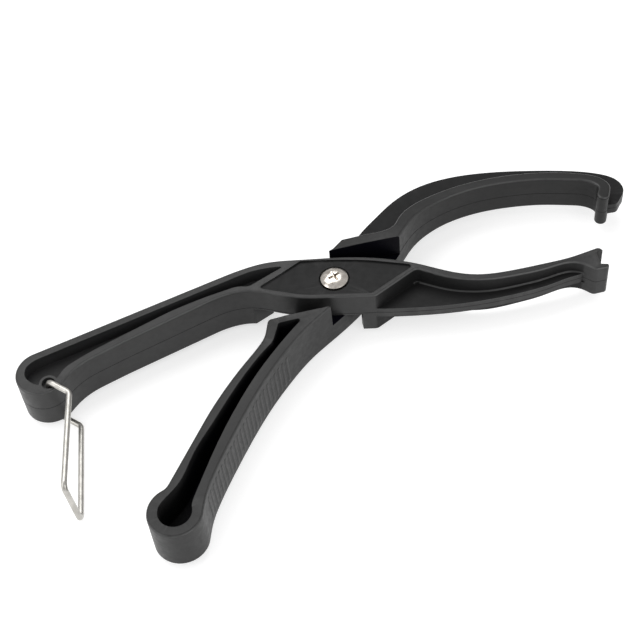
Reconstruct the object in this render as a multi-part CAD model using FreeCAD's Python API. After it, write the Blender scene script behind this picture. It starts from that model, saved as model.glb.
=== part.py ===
"""Tyre bead pliers: two moulded levers on one screw, with a swinging wire bail that latches the handles.

Millimetres. +Z is the pivot axis, screw head up. The origin is where that axis meets the plane of the bottom
faces, and +X runs along the notch lever towards its jaw. Everything is in its open position, which is joint
value 0 of both joints.
"""

import math
import os

import FreeCAD, Part

V = FreeCAD.Vector
UP = V(0, 0, 1)
OVERCUT = 2.0

# ---- levers: heights ----
THICK = 24.0              # full thickness of both levers round the pivot
HANDLE_THINNING = 0.9     # lost on each face towards the handle ends
LAP_UPPER = 11.0          # underside of the notch lever's half of the lap joint
LAP_LOWER = 10.8          # top of the finger lever's half
WEB_BOTTOM, WEB_TOP = 8.8, 14.7
RIM_ROUND = 0.9           # rounding of the outer rims

# ---- notch lever ----
HANDLE_END = V(-130.5, -17.1, 0)
HANDLE_END_R = 11.1
HANDLE_ANGLE = 13.1       # direction of the handle's straight far side
HANDLE_POCKET_FLOOR = 16.7
PANEL_DEPTH = 0.9
NOTCH_HANDLE_TAPER = (-30.0, -150.0)  # x where the handle begins to thin, and where it has thinned
NOTCH_JAW_TAPER = (30.0, 120.0)
NOTCH_JAW_TIP = (3.0, 20.9)           # lower and upper rim height at the jaw's tip

# ---- finger lever ----
BULB = V(-85.4, -97.6, 0)
BULB_R = 11.4
BULB_POCKET_R = 6.9
GRIP_POCKET_FLOOR = 4.0
FINGER = V(127.8, 17.3, 0)    # centre of the finger's round end
FINGER_R = 2.75
FINGER_ANGLE = 243.0          # the way the finger points
FINGER_HANDLE_TAPER = (-28.8, -100.0)
FINGER_JAW_TAPER = (12.0, 62.0)
FINGER_JAW_TIP = (3.5, 21.7)

# ---- pivot screw and nut, M6 ----
SHANK_R = 3.0
BORE_R = 3.05             # running fit in the notch lever
CLEARANCE_R = 3.2         # clearance hole in the finger lever
HEAD_R, HEAD_RIM = 6.0, 1.9
HEAD_SEAT = 21.7
HEAD_DOME = 1.5
COUNTERBORE_R = 6.7
NUT_FLATS, NUT_HEIGHT = 10.0, 5.0
NUT_POCKET_DEPTH = 7.2
NUT_CLEARANCE = 0.15      # on each flat of the moulded hex pocket
INSERT_HEIGHT = 1.4

# ---- wire bail ----
WIRE_R = 1.25
BAIL_PIVOT = V(-128.0, -23.4, 0)
BAIL_BORE_R = 1.32
BAIL_MOUTH_R, BAIL_MOUTH_DEPTH = 2.8, 2.8   # depth below the full thickness
BOSS_R = 4.0
BAIL_KNEE = V(-119.7, -31.6, 0)
BAIL_END_UPPER = V(-126.7, -76.8, 0)    # the cross bar leans a little
BAIL_END_LOWER = V(-125.0, -77.7, 0)
BAIL_UPPER = 24.75        # heights of the wire's centre line
BAIL_LOWER = -0.75
BAIL_TAIL = 10.0          # length of each end inside the boss
BAIL_BEND = 3.0           # centre line radius of the bends


# ---------- outlines ----------

def trail(start, *legs):
    """Closed wire from a starting point. Legs:
    ('to', p)        straight to p
    ('to', p, r)     straight to a corner at p that is rounded with radius r into the next straight leg
    ('arc', mid, p)  arc through mid to p
    ('flow', p, ...) smooth curve through the points, tangent to the straight or round legs beside it
    """
    runs, here = [], V(*start)
    for kind, *rest in legs:
        radius = rest.pop() if kind == "to" and len(rest) == 2 else 0
        points = [here] + [V(*p) for p in rest]
        runs.append((kind, points, radius))
        here = points[-1]
    if (here - V(*start)).Length > 1e-6:
        runs.append(("to", [here, V(*start)], 0))
    edges, trimmed = [], None
    for i, (kind, points, radius) in enumerate(runs):
        if kind == "to":
            begin, end = trimmed or points[0], points[1]
            trimmed = None
            if radius:
                follower = runs[(i + 1) % len(runs)][1]
                end, middle, trimmed = corner_arc(points[0], points[1], follower[1], radius)
            edges.append(Part.LineSegment(begin, end).toShape())
            if radius:
                edges.append(Part.Arc(end, middle, trimmed).toShape())
        elif kind == "arc":
            edges.append(Part.Arc(*points).toShape())
        else:
            before, after = runs[i - 1], runs[(i + 1) % len(runs)]
            first = heading(before, True) or (points[1] - points[0])
            last = heading(after, False) or (points[-1] - points[-2])
            edges.append(smooth_curve(points, first, last).toShape())
    return Part.Wire(edges)


def smooth_curve(points, first, last):
    """Cubic spline through the points that starts along `first` and ends along `last`."""
    spans = [(b - a).Length for a, b in zip(points, points[1:])]
    slopes, ratios = [V(first).normalize()], [0.0]
    for i in range(1, len(spans)):
        near, far = spans[i - 1], spans[i]
        wanted = ((points[i + 1] - points[i]) * (near / far) + (points[i] - points[i - 1]) * (far / near)) * 3
        pivot = 2 * (near + far) - far * ratios[-1]
        slopes.append((wanted - slopes[-1] * far) * (1 / pivot))
        ratios.append(near / pivot)
    slopes.append(V(last).normalize())
    for i in range(len(spans) - 1, 0, -1):
        slopes[i] = slopes[i] - slopes[i + 1] * ratios[i]
    poles, knots = [points[0]], [0.0]
    for i, span in enumerate(spans):
        poles += [points[i] + slopes[i] * (span / 3), points[i + 1] - slopes[i + 1] * (span / 3)]
        knots.append(knots[-1] + span)
    poles.append(points[-1])
    curve = Part.BSplineCurve()
    curve.buildFromPolesMultsKnots(poles, [4] + [2] * (len(spans) - 1) + [4], knots, False, 3)
    for i in range(len(spans), 1, -1):
        curve.removeKnot(i, 1, 1e-6)
    return curve


def heading(run, at_end):
    """Direction of a straight or round leg at its start or end, or None for a curve."""
    kind, points, _ = run
    if kind == "to":
        return points[1] - points[0]
    if kind == "arc":
        curve = Part.Arc(*points)
        return curve.tangent(curve.LastParameter if at_end else curve.FirstParameter)[0]
    return None


def corner_arc(before, corner, after, radius):
    """Start, middle and end of the arc that rounds a corner."""
    back, ahead = (before - corner).normalize(), (after - corner).normalize()
    half = math.acos(back.dot(ahead)) / 2
    reach = radius / math.tan(half)
    middle = corner + (back + ahead).normalize() * (radius / math.sin(half) - radius)
    return corner + back * reach, middle, corner + ahead * reach


def prism(wire, low, high):
    face = Part.Face(wire)
    solid = face.extrude(V(0, 0, high - low))
    solid.translate(V(0, 0, low))
    return solid


def disc(centre, radius, low, high):
    return Part.makeCylinder(radius, high - low, V(centre.x, centre.y, low), UP)


def on_circle(centre, radius, degrees):
    a = math.radians(degrees)
    return (centre.x + radius * math.cos(a), centre.y + radius * math.sin(a))


def ahead_of(point, degrees, distance):
    x, y = (point.x, point.y) if isinstance(point, V) else point
    a = math.radians(degrees)
    return (x + distance * math.cos(a), y + distance * math.sin(a))


def beside(point, distance):
    """A point square to the finger's direction, on its inner side for a positive distance."""
    return ahead_of(point, FINGER_ANGLE - 90, distance)


def side_profile(handle, jaw, tip):
    """Envelope of a lever seen from the side: full thickness at the pivot, thinning smoothly both ways."""
    reach = 170.0
    low, high = tip
    end_low, end_high = HANDLE_THINNING, THICK - HANDLE_THINNING

    def ease(x1, z1, x2, z2):
        return smooth_curve([V(x1, 0, z1), V(x2, 0, z2)], V(x2 - x1, 0, 0), V(x2 - x1, 0, 0)).toShape()

    def straight(*corners):
        points = [V(x, 0, z) for x, z in corners]
        return [Part.LineSegment(a, b).toShape() for a, b in zip(points, points[1:])]

    edges = straight((jaw[0], THICK), (handle[0], THICK)) + [ease(handle[0], THICK, handle[1], end_high)]
    edges += straight((handle[1], end_high), (-reach, end_high), (-reach, end_low), (handle[1], end_low))
    edges += [ease(handle[1], end_low, handle[0], 0)] + straight((handle[0], 0), (jaw[0], 0))
    edges += [ease(jaw[0], 0, jaw[1], low)] + straight((jaw[1], low), (reach, low), (reach, high), (jaw[1], high))
    edges += [ease(jaw[1], high, jaw[0], THICK)]
    slab = Part.Face(Part.Wire(edges)).extrude(V(0, 400, 0))
    slab.translate(V(0, -200, 0))
    return slab


def rim_edges(solid, taper):
    """Edges that run round the upper and lower rims of a lever blank: not the upright ones, and not the
    seams square to x where the thinning starts and ends."""
    picked = []
    for edge in solid.Edges:
        ends = [v.Point for v in edge.Vertexes]
        if len(ends) == 2:
            dx, dy = abs(ends[0].x - ends[1].x), abs(ends[0].y - ends[1].y)
            seam = dx < 1e-4 and min(abs(ends[0].x - x) for x in taper) < 1e-3
            if seam or max(dx, dy) < 1e-4:
                continue
        picked.append(edge)
    return picked


# ---------- notch lever ----------

def notch_lever_rim():
    """Plan of everything that has the full height: handle, pivot plate, jaw wall and tip."""
    start = on_circle(HANDLE_END, HANDLE_END_R, 90 + HANDLE_ANGLE)
    return trail(
        start,
        ("to", ahead_of(start, HANDLE_ANGLE, 89.4)),
        ("flow", (-37.5, 15.6), (-29.0, 16.4), (-12.0, 14.1), (9.0, 9.8), (26.0, 4.0), (38.0, -2.1),
         (49.5, -9.1), (60.0, -13.3), (73.0, -14.6), (90.0, -14.1), (106.0, -12.8)),
        ("to", (117.3, -10.8), 2.2),
        ("to", (117.3, -23.0), 1.5),
        ("to", (112.0, -23.0)),
        ("flow", (108.4, -20.2), (103.5, -16.9), (90.0, -17.4), (78.0, -18.0), (66.0, -17.7), (56.0, -15.6),
         (47.0, -11.8), (41.0, -8.0)),
        ("to", (35.6, -4.3), 2.6),
        ("to", (15.2, -14.5), 3.5),
        ("to", (-6.0, -9.8)),
        ("flow", (-16.5, -7.0), (-25.0, -3.3), (-32.5, 0.6), (-39.0, 2.7), (-46.0, 3.0), (-55.0, 1.3)),
        ("to", (-92.0, -9.8)),
        ("flow", (-104.0, -13.7), (-112.0, -16.7), (-118.6, -21.0), on_circle(HANDLE_END, HANDLE_END_R, -44)),
        ("arc", on_circle(HANDLE_END, HANDLE_END_R, -150), start))


def notch_lever_notch():
    """Plan of the notch in the fork."""
    return trail((120.0, -12.4), ("to", (114.1, -13.9), 0.5), ("to", (113.7, -20.4), 0.5), ("to", (120.0, -22.3)))


def notch_lever_web():
    """Plan of the low floor along the outside of the lower jaw."""
    return trail((12.0, -13.3), ("to", (15.6, -14.45)),
                 ("flow", (25.0, -16.8), (42.0, -20.0), (61.0, -22.0), (77.0, -22.2),
                  (92.6, -20.9), (103.5, -19.3), (108.0, -17.6)),
                 ("to", (108.0, -15.5)), ("to", (60.0, -14.6)), ("to", (36.0, -2.5)))


def notch_lever_pocket():
    """Plan of the deep pocket in the handle, closed by the diagonal rib next to the pivot panel."""
    return trail((-21.8, 11.3),
                 ("flow", (-30.5, 13.0), (-37.0, 12.5), (-46.0, 10.4)),
                 ("to", (-126.0, -8.5)),
                 ("flow", (-132.5, -10.2), (-136.7, -13.3), (-137.4, -17.3), (-135.4, -20.9), (-131.6, -23.1)),
                 ("to", (-126.0, -22.4)),
                 ("flow", (-121.5, -18.5), (-115.5, -14.7), (-104.0, -10.1)),
                 ("to", (-76.0, -0.7)),
                 ("flow", (-66.0, 2.0), (-55.0, 4.3), (-46.0, 5.7), (-40.8, 5.9), (-36.0, 5.3)))


def notch_lever_panel():
    """Plan of the shallow panel round the screw."""
    return trail((-22.0, 8.3),
                 ("to", (-12.6, 12.9), 1.2), ("to", (-6.0, 11.5)),
                 ("flow", (8.5, 8.0), (21.5, 3.6), (26.0, 1.7)),
                 ("to", (35.4, -2.2), 1.2), ("to", (14.0, -12.6), 1.5), ("to", (-7.9, -7.7)),
                 ("flow", (-16.3, -5.2), (-24.0, -1.6)),
                 ("to", (-33.4, 3.0), 1.0))


def notch_lever_undercut():
    """Plan of what the lower half leaves free, so that the finger lever can swing in the lap joint."""
    return trail((-39.5, 1.2), ("to", (-36.2, 2.6), 3.0), ("to", (-27.9, 6.4)), ("arc", (-25.0, 12.3), (-20.0, 20.0)),
                 ("to", (45.0, 20.0)), ("to", (37.2, 0.6)), ("to", (33.4, -2.7)), ("to", (23.0, -6.5)),
                 ("to", (9.2, -9.4)), ("to", (9.2, -20.0)), ("to", (-39.5, -20.0)))


def notch_lever():
    envelope = side_profile(NOTCH_HANDLE_TAPER, NOTCH_JAW_TAPER, NOTCH_JAW_TIP)
    blank = prism(notch_lever_rim(), 0, THICK).common(envelope)
    blank = blank.makeFillet(RIM_ROUND, rim_edges(blank, NOTCH_HANDLE_TAPER + NOTCH_JAW_TAPER))
    web = prism(notch_lever_web(), WEB_BOTTOM, WEB_TOP)
    lever = blank.fuse(web)
    pocket = notch_lever_pocket()
    lever = lever.cut(prism(pocket, HANDLE_POCKET_FLOOR, THICK + OVERCUT))
    lever = lever.cut(prism(pocket, -OVERCUT, THICK - HANDLE_POCKET_FLOOR))
    lever = lever.fuse(disc(BAIL_PIVOT, BOSS_R, 0, THICK).common(envelope))
    lever = lever.cut(prism(notch_lever_panel(), THICK - PANEL_DEPTH, THICK + OVERCUT))
    lever = lever.cut(prism(notch_lever_undercut(), -OVERCUT, LAP_UPPER))
    origin = V(0, 0, 0)
    lever = lever.cut(disc(origin, BORE_R, 0, THICK))
    lever = lever.cut(disc(origin, COUNTERBORE_R, HEAD_SEAT - 0.05, THICK + OVERCUT))
    lever = lever.cut(disc(BAIL_PIVOT, BAIL_BORE_R, -OVERCUT, THICK + OVERCUT))
    lever = lever.cut(disc(BAIL_PIVOT, BAIL_MOUTH_R, THICK - BAIL_MOUTH_DEPTH, THICK + OVERCUT))
    lever = lever.cut(disc(BAIL_PIVOT, BAIL_MOUTH_R, -OVERCUT, BAIL_MOUTH_DEPTH))
    lever = lever.cut(prism(notch_lever_notch(), -OVERCUT, THICK + OVERCUT))
    return lever.removeSplitter()


# ---------- finger lever ----------

def finger_lever_rim():
    """Plan of the whole lower half: handle with its round bulb, pivot plate, jaw wall and finger."""
    bulb_start = on_circle(BULB, BULB_R, 108)
    return trail(
        bulb_start,
        ("flow", (-86.0, -84.5)),
        ("to", (-67.6, -59.2)),
        ("flow", (-57.0, -46.1), (-47.0, -35.6), (-38.8, -27.6), (-35.2, -22.8), (-33.9, -19.4)),
        ("to", (-32.3, -14.9), 2.0),
        ("to", (-25.6, -14.6), 2.0),
        ("to", (-21.0, -8.0)),
        ("flow", (-18.7, -1.0), (-16.2, 8.0), (-10.0, 14.2), (-3.0, 15.2), (3.6, 17.1)),
        ("to", (7.8, 20.5), 1.5),
        ("to", (19.0, 20.9)),
        ("flow", (27.6, 21.4), (32.4, 23.6), (35.5, 27.4), (40.5, 31.8), (50.0, 36.2), (63.0, 39.4), (77.0, 40.5),
         (94.0, 39.5), (110.0, 36.3), (123.0, 31.6), (130.0, 27.0), (132.3, 21.4),
         ahead_of(beside(FINGER, -FINGER_R), FINGER_ANGLE, -2.0)),
        ("to", beside(FINGER, -FINGER_R)),
        ("arc", ahead_of(FINGER, FINGER_ANGLE, FINGER_R), beside(FINGER, FINGER_R)),
        ("flow", (126.9, 22.0), (125.2, 25.1), (117.0, 29.3), (104.0, 33.1), (90.0, 35.4), (76.0, 36.0),
         (62.0, 34.2), (50.0, 30.2), (42.0, 25.4), (36.4, 19.9), (30.3, 13.0), (20.0, 3.4), (9.0, -5.9),
         (-4.6, -15.4), (-16.5, -23.4), (-27.5, -33.2), (-37.2, -43.4), (-48.2, -57.1), (-57.5, -70.1),
         (-67.6, -85.4), (-71.9, -93.5), on_circle(BULB, BULB_R, -18)),
        ("arc", on_circle(BULB, BULB_R, -135), bulb_start))


def finger_lever_web():
    """Plan of the low floor round the outside of the upper jaw."""
    return trail((9.0, 20.0), ("to", (17.0, 28.2)),
                 ("flow", (26.6, 36.4), (35.3, 43.0), (46.0, 48.4), (57.0, 51.0), (70.0, 51.4), (85.0, 49.6),
                  (103.0, 45.6), (121.0, 40.3), (132.2, 35.4), (138.6, 30.0), (140.1, 25.2), (139.3, 21.6),
                  (136.8, 18.6), (133.4, 15.9)),
                 ("to", (129.0, 16.2)), ("to", (129.5, 20.0)), ("to", (128.3, 25.0)), ("to", (121.5, 30.6)),
                 ("to", (100.0, 36.3)), ("to", (76.0, 38.2)), ("to", (44.0, 30.5)), ("to", (30.0, 20.0)))


def finger_lever_lap():
    """Plan of the window above the finger lever's pivot plate, where the notch lever's plate lies."""
    return trail((-60.0, -14.9), ("to", (-4.6, -14.9), 1.5), ("to", (-4.6, -40.0)), ("to", (60.0, -40.0)),
                 ("to", (60.0, 16.1)), ("to", (33.6, 16.1)), ("to", (1.2, 15.4)), ("to", (-0.3, 19.0)), ("to", (-60.0, 19.0)))


def finger_lever_pocket():
    """Keyhole-shaped pocket that follows the handle and ends round in the bulb."""
    return trail((-24.0, -18.0), ("to", (-17.3, -17.8), 1.0), ("to", (-21.5, -21.4)),
                 ("flow", (-32.6, -31.7), (-41.6, -41.1), (-51.4, -53.1), (-60.4, -65.7), (-68.4, -78.4),
                  (-75.0, -89.7), (-77.6, -94.4), on_circle(BULB, BULB_POCKET_R, 0)),
                 ("arc", on_circle(BULB, BULB_POCKET_R, -100), on_circle(BULB, BULB_POCKET_R, 145)),
                 ("flow", (-87.8, -90.5), (-82.6, -86.1), (-73.6, -72.7), (-65.0, -62.0), (-54.4, -49.0),
                  (-44.4, -37.9), (-36.0, -30.0), (-31.8, -25.6)),
                 ("to", (-28.3, -18.1), 1.0))


def hexagon(flats, low, high):
    corner = flats / 2 / math.cos(math.radians(30))
    points = [(corner * math.cos(math.radians(60 * i)), corner * math.sin(math.radians(60 * i))) for i in range(6)]
    return prism(trail(points[0], *[("to", p) for p in points[1:]]), low, high)


def finger_lever():
    envelope = side_profile(FINGER_HANDLE_TAPER, FINGER_JAW_TAPER, FINGER_JAW_TIP)
    blank = prism(finger_lever_rim(), 0, THICK).common(envelope)
    blank = blank.makeFillet(RIM_ROUND, rim_edges(blank, FINGER_HANDLE_TAPER + FINGER_JAW_TAPER))
    lever = blank.fuse(prism(finger_lever_web(), WEB_BOTTOM, WEB_TOP))
    lever = lever.cut(prism(finger_lever_pocket(), GRIP_POCKET_FLOOR, THICK + OVERCUT))
    lever = lever.cut(prism(finger_lever_lap(), LAP_LOWER, THICK + OVERCUT))
    lever = lever.cut(disc(V(0, 0, 0), CLEARANCE_R, -OVERCUT, THICK))
    lever = lever.cut(hexagon(NUT_FLATS + 2 * NUT_CLEARANCE, -OVERCUT, NUT_POCKET_DEPTH))
    return lever.removeSplitter()


# ---------- pivot screw and nut ----------

def pivot_screw():
    """Pan head screw with a cross recess."""
    low_end = 0.9
    head_top = HEAD_SEAT + HEAD_RIM
    profile = Part.Wire([
        Part.LineSegment(V(0, 0, low_end), V(SHANK_R - 0.5, 0, low_end)).toShape(),
        Part.LineSegment(V(SHANK_R - 0.5, 0, low_end), V(SHANK_R, 0, low_end + 0.5)).toShape(),
        Part.LineSegment(V(SHANK_R, 0, low_end + 0.5), V(SHANK_R, 0, HEAD_SEAT)).toShape(),
        Part.LineSegment(V(SHANK_R, 0, HEAD_SEAT), V(HEAD_R, 0, HEAD_SEAT)).toShape(),
        Part.LineSegment(V(HEAD_R, 0, HEAD_SEAT), V(HEAD_R, 0, head_top)).toShape(),
        Part.Arc(V(HEAD_R, 0, head_top), V(HEAD_R * 0.72, 0, head_top + HEAD_DOME * 0.72),
                 V(0, 0, head_top + HEAD_DOME)).toShape(),
        Part.LineSegment(V(0, 0, head_top + HEAD_DOME), V(0, 0, low_end)).toShape()])
    screw = Part.Face(profile).revolve(V(0, 0, 0), UP, 360)
    recess_floor = head_top - 0.9
    for turn in (0, 90):
        slot = Part.makeBox(6.4, 1.25, 6, V(-3.2, -0.625, recess_floor))
        taper = Part.makeCone(0.9, 3.4, 3.2, V(0, 0, recess_floor), UP)
        slot.rotate(V(0, 0, 0), UP, turn + 20)
        screw = screw.cut(slot.common(taper))
    return screw


def lock_nut():
    """Hexagon lock nut, bored out at its lower end for the insert."""
    top = NUT_POCKET_DEPTH
    nut = hexagon(NUT_FLATS, top - NUT_HEIGHT, top)
    chamfer = Part.makeCone(NUT_FLATS / 2 - 0.2, NUT_FLATS / 2 + NUT_HEIGHT + 0.3, NUT_HEIGHT + 0.5,
                            V(0, 0, top - NUT_HEIGHT), UP)
    nut = nut.common(chamfer)
    nut = nut.cut(disc(V(0, 0, 0), SHANK_R, 0, top))
    return nut.cut(disc(V(0, 0, 0), SHANK_R + 1.0, top - NUT_HEIGHT - OVERCUT, top - NUT_HEIGHT + INSERT_HEIGHT))


def nut_insert():
    low = NUT_POCKET_DEPTH - NUT_HEIGHT
    ring = disc(V(0, 0, 0), SHANK_R + 1.0, low, low + INSERT_HEIGHT)
    return ring.cut(disc(V(0, 0, 0), SHANK_R, 0, THICK))


# ---------- wire bail ----------

def rounded_path(points, radius):
    """Straight runs joined by tangent arcs of one radius."""
    edges, here = [], points[0]
    for before, corner, after in zip(points, points[1:], points[2:]):
        start, middle, end = corner_arc(before, corner, after, radius)
        edges.append(Part.LineSegment(here, start).toShape())
        edges.append(Part.Arc(start, middle, end).toShape())
        here = end
    edges.append(Part.LineSegment(here, points[-1]).toShape())
    return Part.Wire(edges)


def bail_wire():
    def at(point, height):
        return V(point.x, point.y, height)
    path = [at(BAIL_PIVOT, BAIL_UPPER - BAIL_TAIL), at(BAIL_PIVOT, BAIL_UPPER), at(BAIL_KNEE, BAIL_UPPER),
            at(BAIL_END_UPPER, BAIL_UPPER), at(BAIL_END_LOWER, BAIL_LOWER), at(BAIL_KNEE, BAIL_LOWER),
            at(BAIL_PIVOT, BAIL_LOWER), at(BAIL_PIVOT, BAIL_LOWER + BAIL_TAIL)]
    spine = rounded_path(path, BAIL_BEND)
    ring = Part.Wire(Part.makeCircle(WIRE_R, path[0], UP))
    return spine.makePipeShell([ring], True, True)


# ---------- export ----------

NODES = {
    "notch_lever": notch_lever,
    "finger_lever": finger_lever,
    "pivot_screw": pivot_screw,
    "lock_nut": lock_nut,
    "nut_insert": nut_insert,
    "bail_wire": bail_wire,
}

os.makedirs("parts", exist_ok=True)
for name, make in NODES.items():
    shape = make()
    solids = shape.Solids
    print(name, "solids", len(solids), "valid", shape.isValid(), "volume", round(shape.Volume, 1))
    shape.exportStep(os.path.join("parts", name + ".step"))
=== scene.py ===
"""Tyre bead pliers on a pale floor: finishes for the CAD levers, screw, nut and wire, with painted shade in
the levers' recesses, painted light in one pocket and painted highlights on their edges, plus details too fine
for
the CAD: parting lines whose dark grey is painted shade, grip ribs, web fillets and a web edge bead whose pale
grey is a painted highlight, and the screw's thread. Metres, in the CAD's frame."""
import math

import bmesh
import bpy
from mathutils import Matrix, Vector


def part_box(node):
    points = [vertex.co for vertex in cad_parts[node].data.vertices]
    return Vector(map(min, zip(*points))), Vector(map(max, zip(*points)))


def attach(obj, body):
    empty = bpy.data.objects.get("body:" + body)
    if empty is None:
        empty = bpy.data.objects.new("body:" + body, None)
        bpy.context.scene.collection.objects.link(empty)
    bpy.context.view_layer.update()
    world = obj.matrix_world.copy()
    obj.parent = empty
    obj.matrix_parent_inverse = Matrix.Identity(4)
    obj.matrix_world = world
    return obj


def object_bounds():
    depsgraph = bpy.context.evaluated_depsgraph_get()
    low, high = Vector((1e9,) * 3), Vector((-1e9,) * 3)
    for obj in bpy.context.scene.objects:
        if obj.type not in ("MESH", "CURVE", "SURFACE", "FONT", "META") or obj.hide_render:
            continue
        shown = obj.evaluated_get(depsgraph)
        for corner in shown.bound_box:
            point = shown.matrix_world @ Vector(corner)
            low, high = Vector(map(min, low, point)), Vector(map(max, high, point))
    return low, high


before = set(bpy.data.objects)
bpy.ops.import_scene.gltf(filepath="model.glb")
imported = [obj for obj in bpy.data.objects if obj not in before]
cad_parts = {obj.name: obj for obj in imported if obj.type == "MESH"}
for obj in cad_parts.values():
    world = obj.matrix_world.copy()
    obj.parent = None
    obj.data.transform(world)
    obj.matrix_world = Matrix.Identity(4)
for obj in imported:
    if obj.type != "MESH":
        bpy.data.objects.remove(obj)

MM = 0.001
cad_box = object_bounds()
scene = bpy.context.scene

MID_HEIGHT = 12 * MM          # half the levers' thickness, where the two mould halves met
BEAD_WIDTH, BEAD_HEIGHT = 0.12 * MM, 0.08 * MM    # half width and height of a moulded line
WEB_RIM_WIDTH, WEB_RIM_HEIGHT = 0.17 * MM, 0.07 * MM
SUNK = 0.12 * MM              # how far a bead's root lies inside the wall
RIB_PITCH, RIB_WIDTH, RIB_HEIGHT = 3.03 * MM, 1.7 * MM, 0.17 * MM
RIB_LOW, RIB_HIGH = 2.6 * MM, 20.6 * MM
RIB_LEAN = 0.04               # how far the top leans towards the bulb for each unit of height
RIB_STEP = 0.1 * MM           # spacing of the points that the ribs follow
WEB_BOTTOM, WEB_TOP = 8.8 * MM, 14.7 * MM
FILLET = 0.55 * MM            # at the foot of the jaws' outer walls
FILLET_ROOT = -0.1 * MM       # its hidden side
FILLET_ARC = ((0.36, 0.12), (0.12, 0.36))     # two points of its hollow, in parts of its size
SEAM_HEIGHT = 20.75 * MM      # where the finger's round nose starts
GRIP_FROM, GRIP_TO = -23 * MM, -72 * MM   # x of the ribbed stretch


# ---------- node helpers ----------

class Nodes:
    """A material's node tree, with short ways to add and join nodes."""

    def __init__(self, name):
        self.material = bpy.data.materials.new(name)
        self.material.use_nodes = True
        self.tree = self.material.node_tree
        self.shader = self.tree.nodes["Principled BSDF"]
        self.place = self.add("ShaderNodeTexCoord").outputs["Object"]

    def add(self, kind, **settings):
        node = self.tree.nodes.new(kind)
        for key, value in settings.items():
            setattr(node, key, value)
        return node

    def put(self, value, socket):
        if isinstance(value, bpy.types.NodeSocket):
            self.tree.links.new(value, socket)
        else:
            socket.default_value = value

    def math(self, operation, a, b=0.0):
        node = self.add("ShaderNodeMath", operation=operation)
        self.put(a, node.inputs[0])
        self.put(b, node.inputs[1])
        return node.outputs[0]

    def inverse(self, value):
        return self.math("SUBTRACT", 1.0, value)

    def step(self, value, edge, softness):
        """0 below an edge and 1 above it, with a soft change."""
        node = self.add("ShaderNodeMapRange", interpolation_type="SMOOTHSTEP")
        self.put(value, node.inputs["Value"])
        node.inputs["From Min"].default_value = edge - softness
        node.inputs["From Max"].default_value = edge + softness
        return node.outputs["Result"]

    def band(self, value, low, high, softness):
        """1 between two values and 0 beyond them."""
        return self.math("MULTIPLY", self.step(value, low, softness),
                         self.inverse(self.step(value, high, softness)))

    def noise(self, scale, detail=2.0, stretch=(1, 1, 1), roughness=0.5):
        mapping = self.add("ShaderNodeMapping")
        mapping.inputs["Scale"].default_value = stretch
        self.put(self.place, mapping.inputs["Vector"])
        node = self.add("ShaderNodeTexNoise")
        node.inputs["Scale"].default_value = scale
        node.inputs["Detail"].default_value = detail
        node.inputs["Roughness"].default_value = roughness
        self.put(mapping.outputs[0], node.inputs["Vector"])
        return node.outputs["Fac"]

    def spread(self, value, low, high):
        """A noise value, most of which lies from 0.3 to 0.7, spread over low to high."""
        node = self.add("ShaderNodeMapRange")
        self.put(value, node.inputs["Value"])
        node.inputs["From Min"].default_value = 0.3
        node.inputs["From Max"].default_value = 0.7
        node.inputs["To Min"].default_value = low
        node.inputs["To Max"].default_value = high
        return node.outputs["Result"]

    def mix(self, factor, a, b):
        node = self.add("ShaderNodeMix", data_type="RGBA")
        self.put(factor, node.inputs["Factor"])
        for value, socket in ((a, node.inputs[6]), (b, node.inputs[7])):
            self.put((*value, 1.0) if isinstance(value, tuple) else value, socket)
        return node.outputs[2]

    def bump(self, height, strength, distance, normal=None):
        node = self.add("ShaderNodeBump")
        node.inputs["Strength"].default_value = strength
        node.inputs["Distance"].default_value = distance
        self.put(height, node.inputs["Height"])
        if normal is not None:
            self.put(normal, node.inputs["Normal"])
        return node.outputs["Normal"]

    def surface(self, **values):
        for name, value in values.items():
            socket = self.shader.inputs[name.replace("_", " ")]
            self.put((*value, 1.0) if isinstance(value, tuple) else value, socket)


# ---------- materials ----------

RIM = (0.0135, 0.0135, 0.0134)    # satin skin of the levers
RECESS_SHADE = (0.0088, 0.0088, 0.0089) # painted shade on the floors and walls of the panels, pockets and webs
POCKET_PAINTED_LIGHT = (0.034, 0.034, 0.035)    # painted light on the bottom of the notch lever's pocket, which lies in shade
DEEP_SHADE = (0.0030, 0.0028, 0.0052)   # near-black painted shade in the finger lever's lower recesses
WEAR_AND_HIGHLIGHT = (0.050, 0.050, 0.050)    # paler grey: wear on scratches and edges, painted highlight on edges and fillets
SPECULAR = 0.34                   # of the rims; the recesses are duller
RECESS_DULL = 0.16

RECESS_REACH = 8.6 * MM           # a level face nearer than this to mid height is a recess's floor
SHELTER_REACH = 16 * MM           # how far away a wall still shelters a spot
PANEL_FLOOR = 22.6 * MM, 23.45 * MM       # heights that only the panel round the screw has
PANEL_SPAN = -34 * MM, 36.5 * MM          # its x range
JAW_WALL_SPAN = 15 * MM, 107 * MM         # x range of the lower jaw's outer wall
WEB_HALF = 2.9 * MM               # half the web's thickness
POCKET_END = -20 * MM             # x where the notch lever's pocket ends
LAP_FLOOR = 3.0 * MM, 11.4 * MM           # heights of the finger lever's lower floors
LAP_STEP_DEPTH = 14.9 * MM, 16.7 * MM     # y range of the step wall above the lap joint
LAP_STEP_SPAN = -2 * MM, 34.5 * MM        # its x range
BULB_EDGE = -80 * MM              # x where the finger lever's bulb begins


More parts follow.
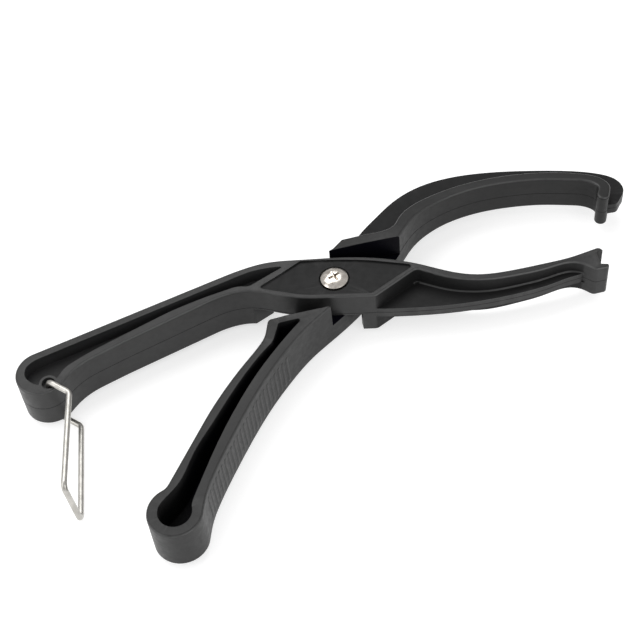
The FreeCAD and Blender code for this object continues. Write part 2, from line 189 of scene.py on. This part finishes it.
class Spot:
    """What a lever's masks need to know of a point: its place, the way it faces and how open it lies."""

    def __init__(self, m):
        place = m.add("ShaderNodeSeparateXYZ")
        m.put(m.place, place.inputs[0])
        self.x, self.y, self.z = (place.outputs[axis] for axis in "XYZ")
        facing = m.add("ShaderNodeSeparateXYZ")
        m.put(m.add("ShaderNodeTexCoord").outputs["Normal"], facing.inputs[0])
        self.face_y, self.face_z = facing.outputs["Y"], facing.outputs["Z"]
        self.tilt = m.math("ABSOLUTE", self.face_z)
        self.level = m.step(self.tilt, 0.93, 0.04)
        self.off_middle = m.math("ABSOLUTE", m.math("SUBTRACT", self.z, MID_HEIGHT))
        shelter = m.add("ShaderNodeAmbientOcclusion", samples=8, only_local=True)
        shelter.inputs["Distance"].default_value = SHELTER_REACH
        self.openness = shelter.outputs["AO"]


def recess_shade_masks(m, spot):
    """Floors below the rims, and walls that lie sheltered: two masks for where shade is painted."""
    floors = m.math("MULTIPLY", spot.level, m.inverse(m.step(spot.off_middle, RECESS_REACH, 0.2 * MM)))
    return floors, m.inverse(m.step(spot.openness, 0.84, 0.10))


def notch_recess_shade(m, spot):
    """The recesses of the notch lever, with the panel round the screw and the jaw's outer wall: where shade
    is painted.
    """
    floors, sheltered = recess_shade_masks(m, spot)
    in_panel = m.math("MULTIPLY", m.band(spot.z, *PANEL_FLOOR, 0.15 * MM),
                      m.band(spot.x, *PANEL_SPAN, 0.2 * MM))
    floors = m.math("MAXIMUM", floors, m.math("MULTIPLY", spot.level, in_panel))
    upright = m.inverse(m.step(spot.tilt, 0.42, 0.12))
    jaw_wall = m.math("MULTIPLY", m.band(spot.x, *JAW_WALL_SPAN, 0.6 * MM),
                      m.inverse(m.step(spot.face_y, -0.25, 0.1)))
    jaw_wall = m.math("MULTIPLY", jaw_wall, upright)
    beyond_web = m.step(spot.off_middle, WEB_HALF, 0.2 * MM)
    return m.math("MAXIMUM", floors, m.math("MAXIMUM", sheltered, m.math("MULTIPLY", jaw_wall, beyond_web)))


# Where shade is painted on the finger lever: its recess floors and sheltered walls.
def finger_recess_shade(m, spot):
    return m.math("MAXIMUM", *recess_shade_masks(m, spot))


def notch_pocket_light(m, spot):
    """The bottom of the pocket in the notch lever's handle, where light is painted in."""
    return m.math("MULTIPLY", m.inverse(m.step(spot.x, POCKET_END, 1 * MM)),
                  m.inverse(m.step(spot.openness, 0.52, 0.26)))


def finger_deep_shade(m, spot):
    """The finger lever's narrow pocket, its floors at the lap joint and the step wall above them, where
    near-black shade is painted.
    """
    narrow = m.inverse(m.step(spot.openness, 0.27, 0.13))
    low = m.math("MULTIPLY", m.step(spot.face_z, 0.5, 0.1), m.band(spot.z, *LAP_FLOOR, 0.1 * MM))
    step_wall = m.math("MULTIPLY", m.band(spot.y, *LAP_STEP_DEPTH, 0.1 * MM),
                       m.inverse(m.step(spot.face_y, -0.8, 0.1)))
    step_wall = m.math("MULTIPLY", step_wall, m.band(spot.x, *LAP_STEP_SPAN, 0.3 * MM))
    in_bulb = m.inverse(m.step(spot.x, BULB_EDGE, 6 * MM))
    pocket = m.math("MULTIPLY", m.math("MAXIMUM", narrow, low), m.inverse(m.math("MULTIPLY", in_bulb, 0.75)))
    return m.math("MAXIMUM", pocket, step_wall)


def toned(colour, tone):
    return tuple(channel * tone for channel in colour)


def lever_plastic(name, recess_shade_mask, pocket_light_mask, deep_shade_mask, tones):
    """Black satin plastic. The recesses are finer textured and duller than the rims, and darker with painted
    shade;
    where a pocket mask is given, the pocket's bottom is paler with painted light, and where a deep mask is
    given, the deepest recesses get near-black painted shade. Scuffs come from use. Edges are paler, partly
    rubbed by use and partly a painted highlight, and fillets are paler with a painted highlight. `tones`
    lightens or darkens the recesses' painted shade, the upright faces and the level faces; a darker tone on
    the level faces is painted shade from how the light falls."""
    recess_tone, side_tone, top_shade_tone = tones
    m = Nodes(name)
    spot = Spot(m)
    recess = recess_shade_mask(m, spot)
    mottle, grain, cloud = m.noise(70, 4), m.noise(2600, 2), m.noise(420, 3)
    # Level faces take a darker tone than upright ones: painted shade from how the light falls.
    bare = m.mix(spot.level, toned(RIM, side_tone), toned(RIM, top_shade_tone))
    tinted = m.add("ShaderNodeMix", data_type="RGBA", blend_type="MULTIPLY")
    tinted.inputs["Factor"].default_value = 1.0
    # Painted shade: the recesses take a darker grey than the rims.
    m.put(m.mix(recess, bare, toned(RECESS_SHADE, recess_tone)), tinted.inputs[6])
    m.put(m.spread(mottle, 0.86, 1.14), tinted.inputs[7])
    colour = tinted.outputs[2]
    # Painted light: the bottom of the notch lever's pocket is made paler.
    if pocket_light_mask:
        colour = m.mix(pocket_light_mask(m, spot), colour, POCKET_PAINTED_LIGHT)
    # Paler edges, partly rubbed by use and partly a painted highlight, and paler fillets: a painted
    # highlight.
    edge = m.step(m.add("ShaderNodeNewGeometry").outputs["Pointiness"], 0.545, 0.035)
    wear_and_highlight = m.math("MULTIPLY", edge, m.spread(cloud, 0.1, 0.7))
    fillet_highlight = m.band(spot.tilt, 0.25, 0.93, 0.08)
    wear_and_highlight = m.math("MAXIMUM", wear_and_highlight, m.math("MULTIPLY", fillet_highlight, m.spread(cloud, 0.2, 0.5)))
    colour = m.mix(wear_and_highlight, colour, WEAR_AND_HIGHLIGHT)
    scratch = m.math("MULTIPLY", m.step(m.noise(60, 3, (1.0, 26.0, 26.0), 0.7), 0.70, 0.02), 0.3)
    colour = m.mix(scratch, colour, WEAR_AND_HIGHLIGHT)
    roughness = m.math("ADD", m.spread(cloud, 0.36, 0.48), m.math("MULTIPLY", recess, 0.12))
    specular = m.math("SUBTRACT", SPECULAR * side_tone, m.math("MULTIPLY", recess, RECESS_DULL * side_tone))
    specular = m.math("ADD", specular, m.math("MULTIPLY", fillet_highlight, 0.4))
    # Near-black painted shade in the finger lever's narrow pocket, lap floors and step wall.
    if deep_shade_mask:
        dark = deep_shade_mask(m, spot)
        colour = m.mix(dark, colour, DEEP_SHADE)
        specular = m.math("MULTIPLY", specular, m.inverse(m.math("MULTIPLY", dark, 0.8)))
    soft = m.add("ShaderNodeBevel", samples=6)
    soft.inputs["Radius"].default_value = 0.3 * MM
    normal = m.bump(grain, 0.16, 0.05 * MM, soft.outputs["Normal"])
    normal = m.bump(cloud, 0.10, 0.10 * MM, normal)
    m.surface(Base_Color=colour, Roughness=roughness, Normal=normal, Specular_IOR_Level=specular)
    return m.material


def fine_plastic(name, dark, light, roughness, specular, patches=240, grain=2600, relief=(0.16, 0.05 * MM)):
    """Plain black plastic between two greys, for the added lines, ribs and fillets."""
    m = Nodes(name)
    m.shader.inputs["Specular IOR Level"].default_value = specular
    m.surface(Base_Color=m.mix(m.noise(patches, 3), (dark,) * 3, (light,) * 3),
              Roughness=m.spread(m.noise(900), *roughness), Normal=m.bump(m.noise(grain), *relief))
    return m.material


def nickel(name, turned):
    """Bright nickel plate. Fine rings from turning on the head, and a few faint marks from a driver."""
    m = Nodes(name)
    xyz = m.add("ShaderNodeSeparateXYZ")
    m.put(m.place, xyz.inputs[0])
    radius = m.math("SQRT", m.math("ADD", m.math("POWER", xyz.outputs["X"], 2.0),
                                   m.math("POWER", xyz.outputs["Y"], 2.0)))
    rings = m.math("SINE", m.math("MULTIPLY", radius, 26000.0))
    cloud = m.noise(500, 4)
    marks = m.step(m.noise(900, 2, (1, 7, 1), 0.7), 0.66, 0.03)
    colour = m.mix(m.spread(cloud, 0.0, 1.0), (0.52, 0.475, 0.43), (0.74, 0.695, 0.64))
    normal = m.bump(rings, 0.10 if turned else 0.0, 0.01 * MM)
    normal = m.bump(cloud, 0.18, 0.03 * MM, normal)
    roughness = m.math("ADD", m.spread(cloud, 0.15, 0.30), m.math("MULTIPLY", marks, 0.15))
    m.surface(Base_Color=colour, Roughness=roughness, Normal=normal)
    m.shader.inputs["Metallic"].default_value = 1.0
    return m.material


def drawn_wire():
    """Nickel-plated drawn wire with fine lengthwise draw marks."""
    m = Nodes("drawn_wire")
    cloud = m.noise(260, 3)
    draw = m.noise(2200, 2, (1.0, 0.12, 1.0), 0.6)
    colour = m.mix(m.spread(cloud, 0.0, 1.0), (0.40, 0.388, 0.36), (0.55, 0.535, 0.505))
    m.surface(Base_Color=colour, Roughness=m.spread(draw, 0.32, 0.46), Normal=m.bump(draw, 0.12, 0.02 * MM))
    m.shader.inputs["Metallic"].default_value = 1.0
    return m.material


def nylon():
    m = Nodes("nylon")
    m.surface(Base_Color=m.mix(m.noise(500, 3), (0.62, 0.62, 0.57), (0.74, 0.74, 0.70)),
              Roughness=m.spread(m.noise(1200), 0.38, 0.52), Normal=m.bump(m.noise(2400), 0.15, 0.03 * MM))
    m.shader.inputs["Subsurface Weight"].default_value = 0.15
    m.shader.inputs["Subsurface Radius"].default_value = (0.0008, 0.0008, 0.0007)
    return m.material


def floor_paint():
    m = Nodes("floor_paint")
    m.surface(Base_Color=m.mix(m.noise(9, 3), (0.56, 0.56, 0.56), (0.60, 0.60, 0.60)),
              Roughness=m.spread(m.noise(60), 0.75, 0.85), Normal=m.bump(m.noise(300), 0.02, 0.1 * MM))
    m.shader.inputs["Specular IOR Level"].default_value = 0.2
    m.shader.inputs["Emission Color"].default_value = (1, 1, 1, 1)
    m.shader.inputs["Emission Strength"].default_value = 0.64
    return m.material


def dress(node, material):
    """Gives a CAD node its finish without touching its mesh data."""
    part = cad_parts[node]
    if not part.material_slots:
        part.data.materials.append(None)
    for slot in part.material_slots:
        slot.link = "OBJECT"
        slot.material = material


# ---------- detail pieces ----------

def piece(name, build, material, body):
    """One mesh object from a bmesh, riding on a body."""
    bmesh.ops.recalc_face_normals(build, faces=build.faces)
    data = bpy.data.meshes.new(name)
    build.to_mesh(data)
    build.free()
    data.polygons.foreach_set("use_smooth", [True] * len(data.polygons))
    data.materials.append(material)
    made = bpy.data.objects.new(name, data)
    scene.collection.objects.link(made)
    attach(made, body)
    return made


def outlines(node, height):
    """Closed outlines of a CAD node in a level plane: lists of points, counter-clockwise, and without those
    that lie inside another one, such as a pocket's or a bore's."""
    cut = bmesh.new()
    cut.from_mesh(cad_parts[node].data)
    bmesh.ops.remove_doubles(cut, verts=cut.verts, dist=1e-6)
    bmesh.ops.bisect_plane(cut, geom=cut.verts[:] + cut.edges[:] + cut.faces[:], plane_co=(0, 0, height),
                           plane_no=(0, 0, 1), clear_inner=True, clear_outer=True)
    bmesh.ops.remove_doubles(cut, verts=cut.verts, dist=5e-6)
    loops, used = [], set()
    for first in cut.verts:
        if first in used:
            continue
        loop, here = [], first
        while here is not None:
            used.add(here)
            loop.append(here.co.copy())
            here = next((e.other_vert(here) for e in here.link_edges if e.other_vert(here) not in used), None)
        loops.append(loop)
    cut.free()
    loops = [loop if area(loop) > 0 else loop[::-1] for loop in loops if len(loop) > 8]
    return [a for a in loops if not any(a is not b and inside(a, b) for b in loops)]


def area(loop):
    return sum(a.x * b.y - b.x * a.y for a, b in zip(loop, loop[1:] + loop[:1])) / 2


def span(loop):
    return min(p.x for p in loop), max(p.x for p in loop), min(p.y for p in loop), max(p.y for p in loop)


def inside(a, b):
    (x1, x2, y1, y2), (u1, u2, v1, v2) = span(a), span(b)
    return x1 > u1 and x2 < u2 and y1 > v1 and y2 < v2


def outward(before, after):
    """Unit normal, pointing out of a counter-clockwise outline."""
    along = after - before
    return Vector((along.y, -along.x, 0)).normalized()


def even_points(path, pitch):
    """Points and outward normals at an even pitch along an open outline."""
    made, left = [], 0.0
    for a, b in zip(path, path[1:]):
        length = (b - a).length
        while left <= length and length > 0:
            made.append((a + (b - a) * (left / length), outward(a, b)))
            left += pitch
        left -= length
    return made


def skin(build, rings, closed):
    """Faces between matching rings of vertices, with end caps on an open run."""
    for a, b in zip(rings, rings[1:] + rings[:1] if closed else rings[1:]):
        for k in range(len(a)):
            j = (k + 1) % len(a)
            build.faces.new((a[k], a[j], b[j], b[k]))
    if not closed:
        build.faces.new(rings[0])
        build.faces.new(rings[-1])


def normals(path, closed):
    """Outward normal at each point of an outline, or of a run along one."""
    count, made = len(path), []
    for i in range(count):
        before = path[i - 1] if closed or i else path[0]
        after = path[(i + 1) % count] if closed or i < count - 1 else path[-1]
        made.append(outward(before, after))
    return made


def bead(name, path, material, body, closed=True, width=BEAD_WIDTH, height=BEAD_HEIGHT):
    """A low ridge along an outline: the line where parts of the mould met."""
    build, rings = bmesh.new(), []
    for point, normal in zip(path, normals(path, closed)):
        ring = []
        for k in range(7):
            turn = math.radians(-90 + 180 * k / 6)
            ring.append(build.verts.new(point + normal * (height * math.cos(turn) - 0.02 * MM)
                                        + Vector((0, 0, width * math.sin(turn)))))
        ring.append(build.verts.new(point - normal * SUNK))
        rings.append(ring)
    skin(build, rings, closed)
    return piece(name, build, material, body)


def corner_fillet(name, path, floor, up, material, body):
    """Small moulded fillet where a wall stands on a web. `up` is 1 above the web and -1 below it."""
    build, rings = bmesh.new(), []
    hollow = [(FILLET * out, FILLET * rise) for out, rise in FILLET_ARC]
    section = [(FILLET_ROOT, FILLET_ROOT), (FILLET, FILLET_ROOT), (FILLET, 0.0), *hollow,
               (0.0, FILLET), (FILLET_ROOT, FILLET)]
    for point, normal in zip(path, normals(path, False)):
        rings.append([build.verts.new(Vector((point.x, point.y, floor + up * rise)) + normal * out)
                      for out, rise in section])
    skin(build, rings, False)
    return piece(name, build, material, body)


def run_of(loop, chosen):
    """The longest run of neighbouring points of a closed outline that all pass a test."""
    start = next((i for i, p in enumerate(loop) if not chosen(i)), 0)
    best, run = [], []
    for step in range(len(loop) + 1):
        i = (start + step) % len(loop)
        if step < len(loop) and chosen(i):
            run.append(loop[i])
        else:
            best = run if len(run) > len(best) else best
            run = []
    return best


def jaw_side(lever, height, side, low_x, high_x):
    """The run of a jaw's outline at a height that faces the side whose sign of y is `side`."""
    loop = max((l for l in outlines(lever, height) if max(p.x for p in l) > 60 * MM), key=area)
    count = len(loop)

    def chosen(i):
        normal = outward(loop[i - 1], loop[(i + 1) % count])
        return low_x < loop[i].x < high_x and normal.y * side > 0.05
    return run_of(loop, chosen)


def web_fillets(lever, side, low_x, high_x, material):
    """Fillets at the foot of a jaw's outer wall, above and below its web."""
    for name, floor, up in (("upper", WEB_TOP, 1), ("lower", WEB_BOTTOM, -1)):
        path = jaw_side(lever, floor + up * 0.3 * MM, side, low_x, high_x)
        corner_fillet(f"{lever}_web_fillet_{name}", path, floor, up, material, lever + "_body")


def web_rim(lever, side, low_x, high_x, material):
    """A bead along the outside top edge of a jaw's web, whose paler colour is a painted highlight."""
    path = jaw_side(lever, WEB_TOP - 0.18 * MM, side, low_x, high_x)
    bead(f"{lever}_web_rim", path, material, lever + "_body", False, WEB_RIM_WIDTH, WEB_RIM_HEIGHT)


def finger_seam(material):
    """The line round the end of the finger where its round nose meets the rim."""
    loops = outlines("finger_lever", SEAM_HEIGHT)
    loop = max(loops, key=lambda l: max(p.x for p in l))
    path = run_of(loop, lambda i: loop[i].x > 124 * MM and loop[i].y < 18.6 * MM)
    return bead("finger_nose_seam", path, material, "finger_lever_body", closed=False)


def grip_side(loop):
    """Closely spaced points and normals along the ribbed stretch of the handle's outer side."""
    facing = Vector((0.77, -0.63, 0))
    stretch = [(a, b) for a, b in zip(loop, loop[1:] + loop[:1])
               if GRIP_TO <= min(a.x, b.x) and max(a.x, b.x) <= GRIP_FROM and outward(a, b).dot(facing) > 0.6]
    stretch.sort(key=lambda pair: pair[0].x)
    return even_points([stretch[0][0]] + [b for _, b in stretch], RIB_STEP)


def grip_ribs(loop, material):
    """Slanted half-round ribs on the outer side of the finger lever's handle."""
    fine = grip_side(loop)
    build = bmesh.new()
    steps, around = 14, 7
    travel = (RIB_HIGH - RIB_LOW) * RIB_LEAN
    start = 0.0

    def vertex(along, height, lift):
        point, normal = fine[min(len(fine) - 1, int(along / RIB_STEP))]
        return build.verts.new(Vector((point.x, point.y, height)) + normal * lift)

    while start + travel + RIB_WIDTH < len(fine) * RIB_STEP:
        rings = []
        for i in range(steps + 1):
            t = i / steps
            height = RIB_LOW + (RIB_HIGH - RIB_LOW) * t
            fade = math.sin(math.pi * min(1.0, max(0.0, min(t, 1 - t)) * 6) / 2)
            near = start + travel * (1 - t)
            ring = []
            for k in range(around):
                turn = math.radians(180 * k / (around - 1))
                ring.append(vertex(near + RIB_WIDTH / 2 * (1 - math.cos(turn)), height,
                                   RIB_HEIGHT * math.sin(turn) * fade - 0.03 * MM))
            ring.append(vertex(near + RIB_WIDTH / 2, height, -0.15 * MM))
            rings.append(ring)
        skin(build, rings, False)
        start += RIB_PITCH
    return piece("grip_ribs", build, material, "finger_lever_body")


def screw_thread(material):
    """Ridge of the thread on the bare end of the screw, below the nut."""
    low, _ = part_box("pivot_screw")
    insert_low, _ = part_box("nut_insert")
    pitch, depth, radius = 0.45 * MM, 0.14 * MM, 2.99 * MM
    begin, end = low.z + 0.62 * MM, insert_low.z - 0.12 * MM
    turns = (end - begin) / pitch
    count = int(turns * 40)
    build, rings = bmesh.new(), []
    for i in range(count + 1):
        turn = 2 * math.pi * turns * i / count
        height = begin + (end - begin) * i / count
        fade = min(1.0, 8 * min(i, count - i) / count)
        root, crest = radius - 0.1 * MM, radius + depth * fade
        rings.append([build.verts.new((reach * math.cos(turn), reach * math.sin(turn), height + rise * pitch))
                      for reach, rise in ((root, -0.32), (crest, -0.05), (crest, 0.05), (root, 0.32))])
    skin(build, rings, False)
    return piece("screw_thread", build, material, "finger_lever_body")


# ---------- stage ----------

FLOOR_REACH, FLOOR_GAP = 1.6, 0.3 * MM    # half the floor's width, and how far it lies below the object
CAMERA_PLACE = (-0.05689, -0.39699, 0.51673)
CAMERA_RIGHT = Vector((0.97563, -0.20862, -0.06793))
CAMERA_DOWN = Vector((-0.20651, -0.76858, -0.60551))
CAMERA_AHEAD = Vector((0.07411, 0.60478, -0.79293))


def set_stage():
    low, _ = cad_box
    build = bmesh.new()
    bmesh.ops.create_grid(build, x_segments=8, y_segments=8, size=FLOOR_REACH)
    data = bpy.data.meshes.new("floor")
    build.to_mesh(data)
    build.free()
    data.materials.append(floor_paint())
    ground = bpy.data.objects.new("floor", data)
    ground.location = (0, 0, low.z - FLOOR_GAP)
    scene.collection.objects.link(ground)

    world = bpy.data.worlds.new("studio")
    world.use_nodes = True
    sky = world.node_tree.nodes["Background"]
    sky.inputs["Color"].default_value = (1, 1, 1, 1)
    sky.inputs["Strength"].default_value = 0.58
    scene.world = world

    lamp("softbox_top", (-0.10, 0.35, 0.75), (0, 0, 0), (0.9, 0.5), 4.2)
    lamp("softbox_left", (-0.75, -0.15, 0.45), (-0.03, 0, 0), (0.4, 0.6), 1.6)
    lamp("softbox_front", (0.35, -0.70, 0.42), (0.02, 0, 0), (0.5, 0.3), 1.6)


def lamp(name, place, target, size, power):
    data = bpy.data.lights.new(name, "AREA")
    data.shape = "RECTANGLE"
    data.size, data.size_y = size
    data.energy = power
    light = bpy.data.objects.new(name, data)
    light.location = place
    light.rotation_euler = (Vector(target) - Vector(place)).to_track_quat("-Z", "Y").to_euler()
    scene.collection.objects.link(light)


def set_camera():
    data = bpy.data.cameras.new("camera")
    data.sensor_width = 36.0
    data.lens = 82.2
    data.clip_start, data.clip_end = 0.01, 20
    camera = bpy.data.objects.new("camera", data)
    turn = Matrix((CAMERA_RIGHT, -CAMERA_DOWN, -CAMERA_AHEAD)).transposed()
    camera.matrix_world = Matrix.Translation(CAMERA_PLACE) @ turn.to_4x4()
    scene.collection.objects.link(camera)
    scene.camera = camera


# ---------- the object ----------

# Tones of the recesses' painted shade, the upright faces and the level faces; the darker level faces are
# painted shade.
dress("notch_lever", lever_plastic("notch_plastic", notch_recess_shade, notch_pocket_light, None, (1.0, 1.0, 0.75)))
dress("finger_lever", lever_plastic("finger_plastic", finger_recess_shade, None, finger_deep_shade, (1.3, 0.72, 0.62)))
dress("pivot_screw", nickel("screw_nickel", turned=True))
dress("lock_nut", nickel("nut_nickel", turned=False))
dress("nut_insert", nylon())
dress("bail_wire", drawn_wire())

# The seam beads' darker grey is painted shade along the moulded lines.
seam = fine_plastic("seam_shade_plastic", 0.004, 0.008, (0.5, 0.7), 0.1, 300, 1800, (0.2, 0.04 * MM))
rib = fine_plastic("rib_plastic", 0.0105, 0.0135, (0.38, 0.52), 0.3)
# The fillets' and the web edge bead's pale grey is a painted highlight.
fillet = fine_plastic("fillet_highlight_plastic", 0.022, 0.034, (0.34, 0.46), 0.4, relief=(0.12, 0.05 * MM))
for lever in ("notch_lever", "finger_lever"):
    for number, loop in enumerate(outlines(lever, MID_HEIGHT)):
        if lever == "finger_lever" and min(p.x for p in loop) < GRIP_TO:
            grip_ribs(loop, rib)
        else:
            bead(f"{lever}_parting_{number}", loop, seam, lever + "_body")
# Web fillets and the web edge bead, paler with a painted highlight.
web_fillets("notch_lever", -1, 17 * MM, 108 * MM, fillet)
web_fillets("finger_lever", 1, 22 * MM, 132 * MM, fillet)
web_rim("notch_lever", -1, 16.5 * MM, 107 * MM, fillet)
finger_seam(seam)
screw_thread(nickel("thread_nickel", turned=False))

set_stage()
set_camera()
scene.view_settings.view_transform = "Standard"
